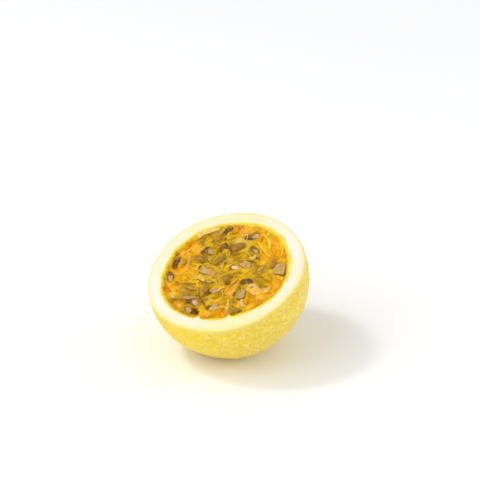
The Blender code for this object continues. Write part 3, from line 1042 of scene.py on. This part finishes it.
SEED_AROUND = 40
SEED_RINGS = 21
SEED_SQUARE = 0.8
SEED_UNEVEN = 0.05
FACE_LIFT = 0.165  # of a cut seed's face, as a share of its half thickness
FACE_UNEVEN = 0.14
FACE_MOTTLE = 0.34
DARK_RIM = np.array((0.21, 0.100, 0.018))
DARK_SEED = np.array((0.055, 0.025, 0.004))
BROWN_SEED = np.array((0.25, 0.125, 0.035))
UNDER_SKIN = (1.0, 0.78, 0.50)  # what a sac's skin leaves of its seed's colours
VEILED_SHADES = (0.50, 0.78)
VEILED_SEED_DROPS = (0.1, 0.65)  # mm
PATCH_SIZES = (0.55, 0.78)  # of the pale patch on a whole seed, as shares of the seed
PATCH_SHIFT = 0.42
PATCH_FLATTENING = 0.2

# A cut seed's section from its foot to the middle of its face: shares of its reach and of its half thickness
PLATE_PROFILE = (
    (0.03, -0.80), (0.55, -0.75), (0.86, -0.45), (0.98, -0.05), (1.00, 0.22), (0.97, 0.36), (0.91, 0.44),
    (0.80, 0.47), (0.65, 0.46), (0.50, 0.45), (0.35, 0.44), (0.20, 0.43), (0.03, 0.43),
)


def face_colors(shape, row, bump):
    """From one of the seed's own colours to the other along its length."""
    share = np.clip(0.5 + 0.5 * shape[:, 0] + 0.6 * bump, 0, 1)
    return mixed(row[5], row[6], share) * (1 + FACE_MOTTLE * bump[:, None])


def whole_seed(shape, row, bump):
    """Dark seed with painted glints in its own colour where it bulges, and painted shade round its foot."""
    color = mixed(DARK_SEED, BROWN_SEED, np.clip(0.5 + 0.9 * bump, 0, 1))
    # Painted glints in the seed's own colour where it bulges
    color = mixed(color, np.array(row[5]) * 0.75, 0.6 * smooth_step(bump, 0.15, 0.5))
    return mixed(FOOT_SHADE, color, smooth_step(shape[:, 2], -0.05, 0.45))


def plate_points(corners):
    """A cut seed of radius 1 with its corners' outline, ring by ring, and 1 on its face and 0 off it."""
    angle = -2 * math.pi * np.arange(SEED_AROUND) / SEED_AROUND
    reach = polygon_reach(corners, (angle + math.pi) % (2 * math.pi) - math.pi)
    share, height = np.array(PLATE_PROFILE).T[:, :, None]
    out = share * reach
    rings = np.stack([out * np.cos(angle), out * np.sin(angle), height + 0 * angle], -1)
    return rings.reshape(-1, 3), np.repeat(smooth_step(height, 0.25, 0.42), SEED_AROUND)


def pale_patch(shape, corners, size, away):
    """Flattens part of a whole seed's upper side, away from the given angle; 1 on the flat and 0 off it."""
    beside = shape[:, :2] + PATCH_SHIFT * np.array((math.cos(away), math.sin(away)))
    out = np.hypot(*beside.T) / (size * polygon_reach(corners, np.arctan2(beside[:, 1], beside[:, 0])))
    flat = (1 - smooth_step(out, 0.75, 1.1)) * smooth_step(shape[:, 2], 0.0, 0.2)
    shape[:, 2] *= 1 - PATCH_FLATTENING * flat
    return flat


def seed_shape(row, seed, corners, index, draw):
    """A seed's points in its own half lengths, their colours and how far it is lifted."""
    if row[4] == CUT:
        shape, face = plate_points(corners)
        bump = noise_at(shape * 2.0 + index * 3.1, 1.0)
        shape[:, 2] += FACE_UNEVEN * bump * face
        return shape, mixed(DARK_RIM, face_colors(shape, row, bump), face), FACE_LIFT * seed.size.z / 2
    shape = egg_points(SEED_AROUND, SEED_RINGS, SEED_SQUARE)
    bump = noise_at(shape * 2.0 + index * 3.1, 1.0)
    shape *= (1 + SEED_UNEVEN * bump)[:, None]
    if row[4] == VEILED:
        color = face_colors(shape, row, bump) * draw.uniform(*VEILED_SHADES) * UNDER_SKIN
        return shape, color, -draw.uniform(*VEILED_SEED_DROPS) * MM
    color = whole_seed(shape, row, bump)
    if row[4] == PATCH:
        flat = pale_patch(shape, corners, draw.uniform(*PATCH_SIZES), math.radians(row[7]) - seed.turn)
        color = mixed(color, face_colors(shape, row, bump), flat)
    return shape, color, 0.0


def seeds():
    """Seeds lying in their sacs: whole ones pitted and dark, split ones with a flat pale face."""
    draw = random.Random(RANDOM_SEED + 3)
    for index, (seed, row, corners) in enumerate(zip(SEEDS, SEED_SACS, CORNERS)):
        shape, colors, lift = seed_shape(row, seed, corners, index, draw)
        yield placed(shape, seed, lift), colors


PALE_SKIN = (0.96, 0.69, 0.13)
STRAW_SKIN = (0.94, 0.56, 0.020)
PINK_SKIN = (0.78, 0.48, 0.20)
PEACH_SKIN = (0.86, 0.45, 0.05)
FLAP_SKIN = (0.90, 0.49, 0.060)
HONEY_SKIN = (0.78, 0.50, 0.100)
TAN_SKIN = (0.95, 0.61, 0.160)
DARK_SKIN = (0.24, 0.11, 0.004)
DIM_SKIN = (0.40, 0.22, 0.012)
BARK_SKIN = (0.46, 0.26, 0.050)

# Strands and flaps of torn skin that lie over the pulp, and a few short ones that are painted glints: width
# in mm, colour, then points in mm
STRANDS = (
    (1.3, FLAP_SKIN, (16.1, -20.9), (13.4, -18.1), (12.1, -15.4), (10.2, -12.2)),
    (1.3, FLAP_SKIN, (12.0, -16.0), (10.4, -18.3), (9.2, -20.6)),
    (4.2, FLAP_SKIN, (14.8, -4.2), (17.4, -3.7), (20.2, -3.2), (22.0, -2.8)),
    (2.0, FLAP_SKIN, (20.4, -2.5), (22.3, -2.0), (23.5, -0.6), (23.3, 1.9)),
    (1.6, PINK_SKIN, (14.8, -2.9), (16.6, -1.2), (19.6, -1.9), (22.3, -1.2), (23.2, 1.6)),
    (1.5, PINK_SKIN, (16.2, -9.9), (18.2, -12.6), (20.0, -12.2)),
    (0.9, HONEY_SKIN, (-21.4, 8.7), (-20.7, 6.6), (-19.6, 4.2)),
    (0.7, PALE_SKIN, (-4.7, 6.3), (-5.2, 4.3), (-4.3, 1.6)),
    (0.5, PALE_SKIN, (12.3, 12.8), (12.7, 10.6)),
    (0.9, PEACH_SKIN, (-23.1, -10.5), (-19.4, -10.2), (-18.4, -6.6), (-19.3, -2.5)),
    (0.7, PALE_SKIN, (4.5, -6.9), (3.8, -8.8), (3.8, -11.2)),
    (1.2, STRAW_SKIN, (2.0, 21.6), (5.5, 19.9), (9.6, 17.6), (12.6, 16.6)),
    (1.3, STRAW_SKIN, (1.6, 26.4), (4.6, 25.4), (8.0, 22.8), (9.4, 20.2)),
    (0.9, STRAW_SKIN, (12.6, 24.6), (15.4, 22.2), (17.4, 18.8)),
    (1.6, PEACH_SKIN, (-26.5, -2.6), (-25.0, 1.1), (-24.3, 5.8)),
    (1.8, TAN_SKIN, (-25.1, 11.4), (-24.1, 14.6), (-21.6, 17.9), (-18.6, 20.7)),
    (0.5, DIM_SKIN, (-22.8, 14.2), (-20.6, 17.0), (-17.4, 19.7)),
    (0.5, FLAP_SKIN, (2.5, -9.4), (5.6, -10.6), (7.4, -13.7), (5.8, -16.0), (3.1, -16.3)),
    (1.5, HONEY_SKIN, (3.7, 12.2), (5.8, 12.5), (6.9, 14.0)),
    # This short strand is a painted glint
    (1.0, PALE_SKIN, (-1.9, 14.0), (-0.6, 15.6)),
    (0.5, PALE_SKIN, (-6.9, 16.5), (-8.3, 20.3), (-5.4, 23.3), (-3.6, 19.7), (-5.1, 16.7)),
    # These two short strands are painted glints
    (1.1, HONEY_SKIN, (-8.4, -7.9), (-6.4, -8.3)),
    (1.0, HONEY_SKIN, (-5.3, -8.1), (-3.2, -7.6)),
    (0.7, DARK_SKIN, (-10.9, -8.4), (-6.9, -9.1), (-3.8, -8.7), (-1.8, -6.8)),
    (1.4, PINK_SKIN, (-15.8, -20.8), (-13.0, -22.4)),
    (0.8, DIM_SKIN, (14.9, 5.4), (14.3, 7.6), (13.6, 9.6)),
    (0.7, DIM_SKIN, (12.3, 5.5), (11.4, 9.0)),
    (2.0, BARK_SKIN, (-11.1, -19.9), (-7.0, -19.3), (-3.5, -18.0)),
    (0.6, DARK_SKIN, (-11.7, -15.6), (-8.8, -15.6), (-6.6, -13.9)),
    (1.3, PEACH_SKIN, (-22.7, 2.0), (-20.8, -0.9), (-19.8, -4.4)),
    (0.8, PINK_SKIN, (-24.3, -2.4), (-21.7, -4.6)),
    # This short strand is a painted glint
    (0.6, HONEY_SKIN, (-16.3, -11.2), (-15.6, -9.5)),
)
LOOSE_STRANDS = 9
LOOSE_WIDTHS = (0.25, 0.5)  # mm
LOOSE_SPANS = (0.5, 1.7)
LOOSE_REACH = (0.88, 1.12)
LOOSE_KNOTS = 5
STRAND_STEPS = 28
STRAND_AROUND = 12
STRAND_WOBBLE = 0.25 * MM
STRAND_LIFT = 0.10 * MM
STRAND_CRINKLE = 0.12 * MM
PAINTED_CRINKLE_SHADE = 0.35
THICKNESSES = (0.05 * MM, 0.30 * MM)  # half of it, least and greatest
BROAD = 3 * MM  # as wide as this, a strand lies flat and smooth


def evened(rows):
    """Moving mean of five along the first axis."""
    padded = np.pad(rows, ((2, 2), (0, 0)), "edge")
    return sum(padded[k : k + len(rows)] for k in range(5)) / 5


def curve_points(knots, count):
    """Points along a smooth line through the knots."""
    padded = np.vstack([2 * knots[0] - knots[1], knots, 2 * knots[-1] - knots[-2]])
    rows = []
    for share in np.linspace(0, len(knots) - 1, count):
        k = min(int(share), len(knots) - 2)
        t = share - k
        a, b, c, d = padded[k : k + 4]
        bend = (2 * a - 5 * b + 4 * c - d) * t**2 + (3 * b - a - 3 * c + d) * t**3
        rows.append(0.5 * (2 * b + (c - a) * t + bend))
    return np.array(rows)


def loose_strand(draw):
    """Points along part of a sac's outline, or none where they would touch the wall."""
    sac = SACS[draw.randrange(SAC_COUNT)]
    start = draw.uniform(0, 2 * math.pi)
    span = draw.uniform(*LOOSE_SPANS)
    ring = []
    for step in range(LOOSE_KNOTS):
        angle = start + span * step / (LOOSE_KNOTS - 1)
        out = draw.uniform(*LOOSE_REACH)
        u, v = math.cos(angle) * sac.size.x / 2 * out, math.sin(angle) * sac.size.y / 2 * out
        x = sac.x + u * math.cos(sac.turn) - v * math.sin(sac.turn)
        y = sac.y + u * math.sin(sac.turn) + v * math.cos(sac.turn)
        ring.append((x, y))
    return ring if max(math.hypot(x, y) for x, y in ring) < MOUTH_RADIUS - 1.2 * MM else None


def strand_lines(draw):
    """Knots, width and colour of each strand: the ones given, then the loose ones."""
    lines = [(np.array(knots) * MM, width * MM, color) for width, color, *knots in STRANDS]
    for _ in range(LOOSE_STRANDS):
        ring = loose_strand(draw)
        if ring:
            width = draw.uniform(*LOOSE_WIDTHS) * MM
            lines.append((np.array(ring), width, draw.choice((PALE_SKIN, PEACH_SKIN))))
    return lines


def strands():
    """Thin flat ribbons that follow the pulp's surface, the loose ones round the sacs' outlines."""
    draw = random.Random(RANDOM_SEED + 8)
    for index, (knots, width, color) in enumerate(strand_lines(draw)):
        path = curve_points(knots, STRAND_STEPS)
        step = np.linalg.norm(np.diff(path, axis=0), axis=1).mean()
        wobble = np.array([(draw.uniform(-1, 1), draw.uniform(-1, 1)) for _ in path])
        path += min(STRAND_WOBBLE, 0.6 * step) * evened(wobble)
        way = np.gradient(path, axis=0)
        way /= np.linalg.norm(way, axis=1)[:, None]
        share = np.linspace(0, 1, STRAND_STEPS)[:, None]
        half = width / 2 * (0.25 + 0.75 * np.sin(math.pi * (0.08 + 0.84 * share)) ** 0.7)
        half *= 1 + 0.5 * evened(np.array([[draw.uniform(-1, 1)] for _ in path]))
        angle = 2 * math.pi * np.arange(STRAND_AROUND) / STRAND_AROUND
        aside = half * np.cos(angle)
        x = path[:, :1] - way[:, 1:] * aside
        y = path[:, 1:] + way[:, :1] * aside
        bed = evened(Pulp(x.ravel(), y.ravel()).heights().reshape(x.shape))
        bed += (bed.max(1, keepdims=True) - bed) * np.clip(half / BROAD, 0, 0.8)
        flat = np.stack([x.ravel(), y.ravel(), np.zeros(x.size)], 1)
        crinkle = noise_at(flat, 500, 2, index * x.size).reshape(x.shape)
        crinkle *= 1 - 0.75 * min(width / BROAD, 1)
        thick = np.clip(half * 0.25, *THICKNESSES)
        z = bed + STRAND_LIFT + STRAND_CRINKLE * crinkle + thick * np.sin(angle)
        # Painted shade and light follow the crinkles: darker where they dip, lighter where they rise
        yield np.stack([x, y, z], -1).reshape(-1, 3), color * (1 + PAINTED_CRINKLE_SHADE * crinkle.reshape(-1, 1))


# Water on the rind

DROP_COUNT = 900
DROP_RADII = (0.22, 0.28, 0.34, 0.42, 0.60)  # mm
DROP_HEIGHT = 0.42  # as a share of the drop's radius
DROP_STRETCH = (0.85, 1.15)
DROP_LEVELS = (-0.86, 0.10)  # from the fruit's centre, as shares of its radius
DROP_SINK = 0.02 * MM
DROP_CLEARANCE = 0.6 * MM
DRIEST = 0.06  # how thick the drops lie on the dry side, as a share of the wettest
DROP_AROUND = 12
DROP_RINGS = 4


def dome_points():
    """Points of a dome of radius 1, ring by ring up to its tip."""
    angle = math.pi / 2 * np.arange(DROP_RINGS)[:, None] / DROP_RINGS
    turn = 2 * math.pi * np.arange(DROP_AROUND) / DROP_AROUND
    level = np.cos(angle)
    rings = np.stack([level * np.cos(turn), level * np.sin(turn), np.sin(angle) + 0 * turn], -1)
    return np.vstack([rings.reshape(-1, 3), (0, 0, 1)])


def make_drops():
    """Small flattened drops, closer together towards +X."""
    draw = random.Random(RANDOM_SEED + 4)
    dome = dome_points()
    points, faces = [], []
    while len(points) < DROP_COUNT * len(dome):
        turn = draw.uniform(-math.pi, math.pi)
        rise = draw.uniform(*DROP_LEVELS)
        size = draw.choice(DROP_RADII) * MM
        if draw.random() > DRIEST + (1 - DRIEST) * wetness(turn):
            continue
        level = math.sqrt(1 - rise * rise)
        out = Vector((level * math.cos(turn), level * math.sin(turn), rise))
        centre = out * (FRUIT_RADIUS + lobed(RIM_LOBES, turn) * level - DROP_SINK)
        if (TO_WORLD @ centre).z < DROP_CLEARANCE:
            continue
        side = out.orthogonal().normalized()
        stretch = draw.uniform(*DROP_STRETCH)
        axes = np.array([side * stretch, out.cross(side) / stretch, out * DROP_HEIGHT]) * size
        start = len(points)
        points += (dome @ axes + np.array(centre)).tolist()
        tip = len(points) - 1
        last = tip - DROP_AROUND
        faces += grid_faces(DROP_RINGS, DROP_AROUND, start)
        faces += [(last + step, last + (step + 1) % DROP_AROUND, tip) for step in range(DROP_AROUND)]
        faces.append(tuple(range(start + DROP_AROUND - 1, start - 1, -1)))
    piece = add_mesh("water_drops", points, faces, drop_material())


# Floor, light and camera

def make_floor():
    bpy.ops.mesh.primitive_plane_add(size=6, location=(0, 0, -0.05 * MM))
    floor = bpy.context.object
    floor.name = "floor"
    floor.data.materials.append(floor_material())
    floor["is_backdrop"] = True


WORLD_LIGHT = 0.61
LIGHT_AIM = Vector((0, 0, 30 * MM))

# Soft square lights: direction they shine from, distance and size in metres, and power in watts
LIGHTS = {
    "key": ((-0.40, -0.70, 0.78), 2.0, 1.9, 15.5),
    "front": ((0.66, -0.78, 0.42), 1.6, 0.8, 3.4),
    "rim": ((0.75, 0.9, 0.35), 1.2, 0.5, 3.5),
    "sparkle": ((-0.47, -0.32, 0.84), 1.2, 0.20, 3.0),
}


def make_light():
    world = bpy.data.worlds.new("studio")
    bpy.context.scene.world = world
    world.use_nodes = True
    background = world.node_tree.nodes["Background"]
    background.inputs["Color"].default_value = (1.0, 1.0, 1.0, 1.0)
    background.inputs["Strength"].default_value = WORLD_LIGHT
    for name, (direction, distance, size, watts) in LIGHTS.items():
        data = bpy.data.lights.new(name, "AREA")
        data.shape = "SQUARE"
        data.size = size
        data.energy = watts
        light = add_object(name, data)
        back = Vector(direction).normalized()
        light.location = LIGHT_AIM + back * distance
        light.rotation_euler = back.to_track_quat("Z", "Y").to_euler()


LENS = 135
SENSOR_WIDTH = 36
CAMERA_AZIMUTH = math.radians(38.94)
CAMERA_ELEVATION = math.radians(29.64)
CAMERA_DISTANCE = 0.8016
CAMERA_AIM = Vector((-0.00105, 0.00983, 0.04975))


def make_camera():
    data = bpy.data.cameras.new("camera")
    data.lens = LENS
    data.sensor_width = SENSOR_WIDTH
    camera = add_object("camera", data)
    level = math.cos(CAMERA_ELEVATION)
    sideways, forwards = math.sin(CAMERA_AZIMUTH), -math.cos(CAMERA_AZIMUTH)
    back = Vector((sideways * level, forwards * level, math.sin(CAMERA_ELEVATION)))
    camera.location = Vector((0, 0, CENTRE_HEIGHT)) + back * CAMERA_DISTANCE
    camera.rotation_euler = (camera.location - CAMERA_AIM).to_track_quat("Z", "Y").to_euler()
    bpy.context.scene.camera = camera


def write_sizes():
    boxes = {"cad": CAD_BOX, "visual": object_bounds()}
    plain = {name: [list(corner) for corner in box] for name, box in boxes.items()}


def main():
    bpy.context.scene.view_settings.view_transform = "Standard"
    make_camera()
    make_floor()
    make_light()
    make_shell()
    make_bed()
    add_forms("sac_skins", veils(), VEIL_AROUND, veil_material())
    add_forms("seeds", seeds(), SEED_AROUND, seed_material())
    add_forms("strands", strands(), STRAND_AROUND, strand_material())
    make_drops()
    write_sizes()


main()
